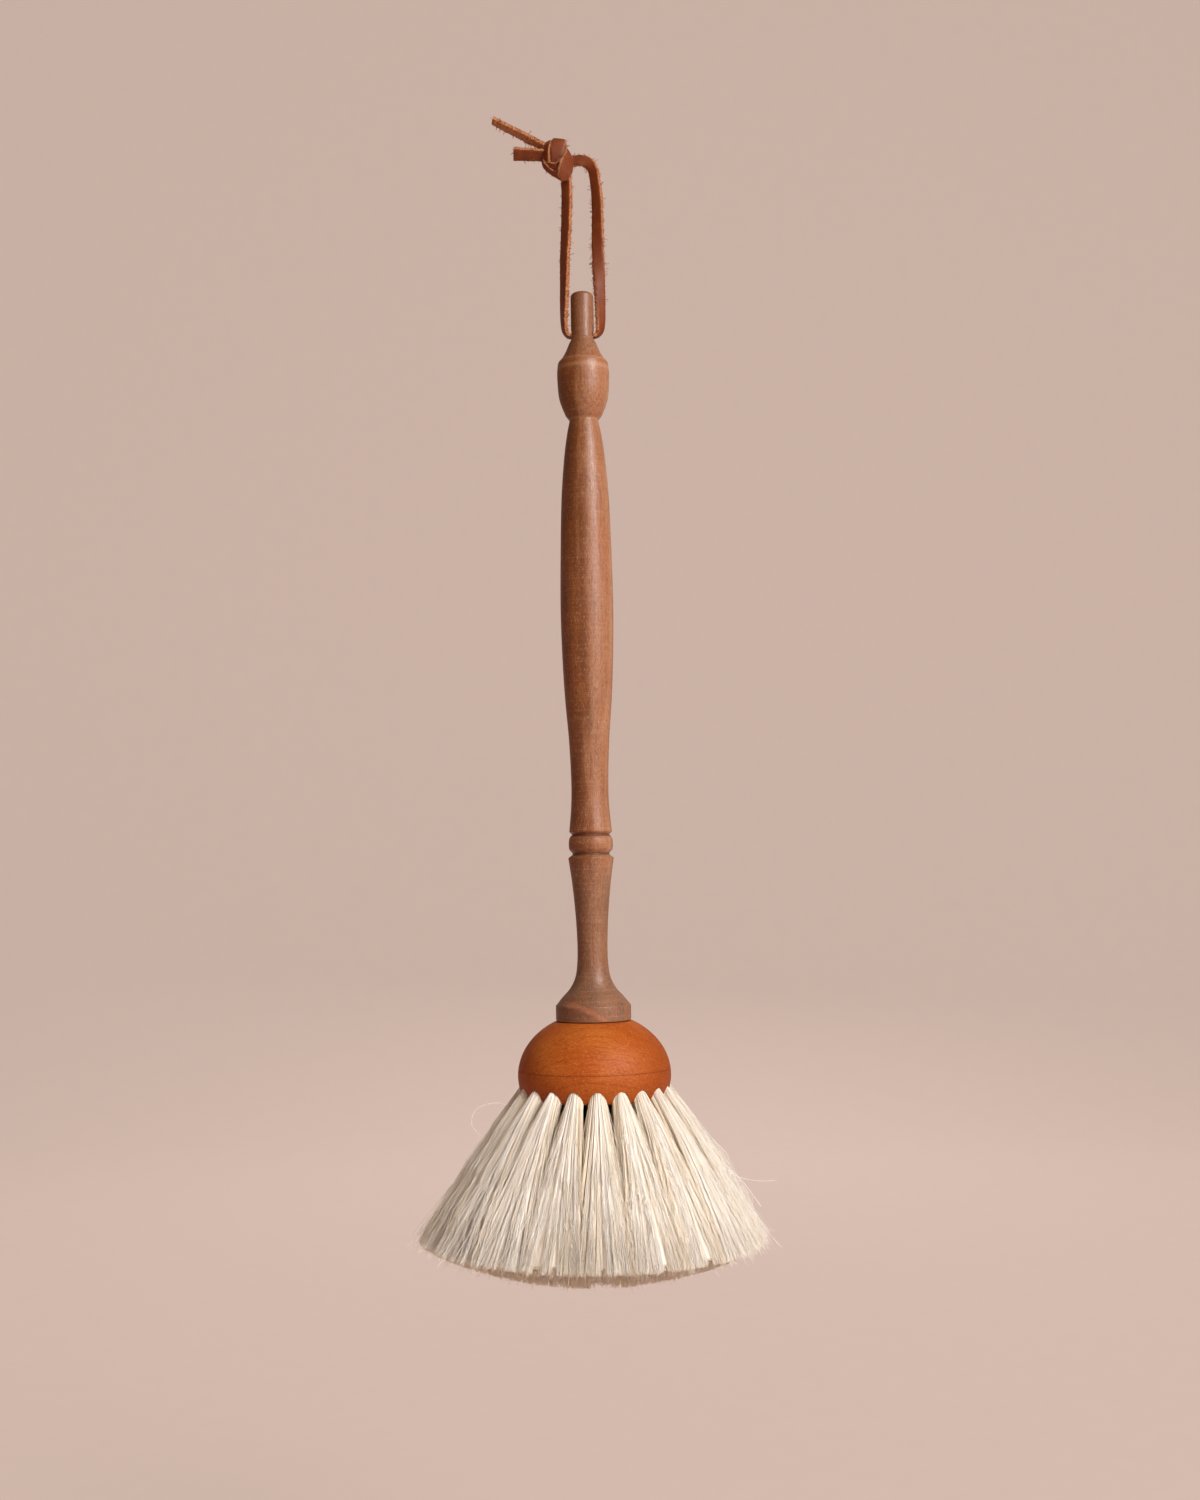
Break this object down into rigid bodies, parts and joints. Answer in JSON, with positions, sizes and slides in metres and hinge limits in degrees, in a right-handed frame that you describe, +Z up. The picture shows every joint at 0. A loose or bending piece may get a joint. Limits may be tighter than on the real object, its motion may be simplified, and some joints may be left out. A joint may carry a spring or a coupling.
{
  "type": "dusting brush",
  "caption": "Long dusting brush with a turned wooden handle, a domed head, rings of soft hair tufts that fan out below it, and a knotted leather lace to hang it by.",
  "frame": {"origin": "the point where a peg carries the lace, under the top of its loop", "axes": "+Z up along the handle, -Y towards the front, which shows the face of the lace's loop; the cross-hole in the neck runs along X"},
  "size_m": [0.1468, 0.1468, 0.5338],
  "materials": {
    "pearwood": "oiled pearwood, pinkish mid-brown, satin, with fine flecks and darker streaks",
    "stained_wood": "orange-brown stained wood, satin",
    "goat_hair": "soft cream-white goat hair",
    "leather": "reddish-brown grain leather with pale rough edges",
    "drawing_wire": "thin bright steel wire, hidden in the head"
  },
  "bodies": {
    "lace": {"hanging_lace": "leather", "lace_knot": "leather"},
    "brush": {"handle": "pearwood", "head_cover": "stained_wood", "tuft_block": "stained_wood", "drawing_wire": "drawing_wire", "outer_tuft_01": "goat_hair", "outer_tuft_02": "goat_hair", "outer_tuft_03": "goat_hair", "outer_tuft_04": "goat_hair", "outer_tuft_05": "goat_hair", "outer_tuft_06": "goat_hair", "outer_tuft_07": "goat_hair", "outer_tuft_08": "goat_hair", "outer_tuft_09": "goat_hair", "outer_tuft_10": "goat_hair", "outer_tuft_11": "goat_hair", "outer_tuft_12": "goat_hair", "outer_tuft_13": "goat_hair", "outer_tuft_14": "goat_hair", "outer_tuft_15": "goat_hair", "outer_tuft_16": "goat_hair", "outer_tuft_17": "goat_hair", "outer_tuft_18": "goat_hair", "outer_tuft_19": "goat_hair", "outer_tuft_20": "goat_hair", "middle_tuft_01": "goat_hair", "middle_tuft_02": "goat_hair", "middle_tuft_03": "goat_hair", "middle_tuft_04": "goat_hair", "middle_tuft_05": "goat_hair", "middle_tuft_06": "goat_hair", "middle_tuft_07": "goat_hair", "middle_tuft_08": "goat_hair", "middle_tuft_09": "goat_hair", "middle_tuft_10": "goat_hair", "middle_tuft_11": "goat_hair", "middle_tuft_12": "goat_hair", "middle_tuft_13": "goat_hair", "inner_tuft_01": "goat_hair", "inner_tuft_02": "goat_hair", "inner_tuft_03": "goat_hair", "inner_tuft_04": "goat_hair", "inner_tuft_05": "goat_hair", "inner_tuft_06": "goat_hair", "centre_tuft": "goat_hair"}
  },
  "joints": [
    {"name": "brush_swing", "type": "hinge", "parent": "lace", "child": "brush", "pos_m": [0, 0, -0.081], "axis": [1, 0, 0], "range_deg": [-90, 90]}
  ]
}
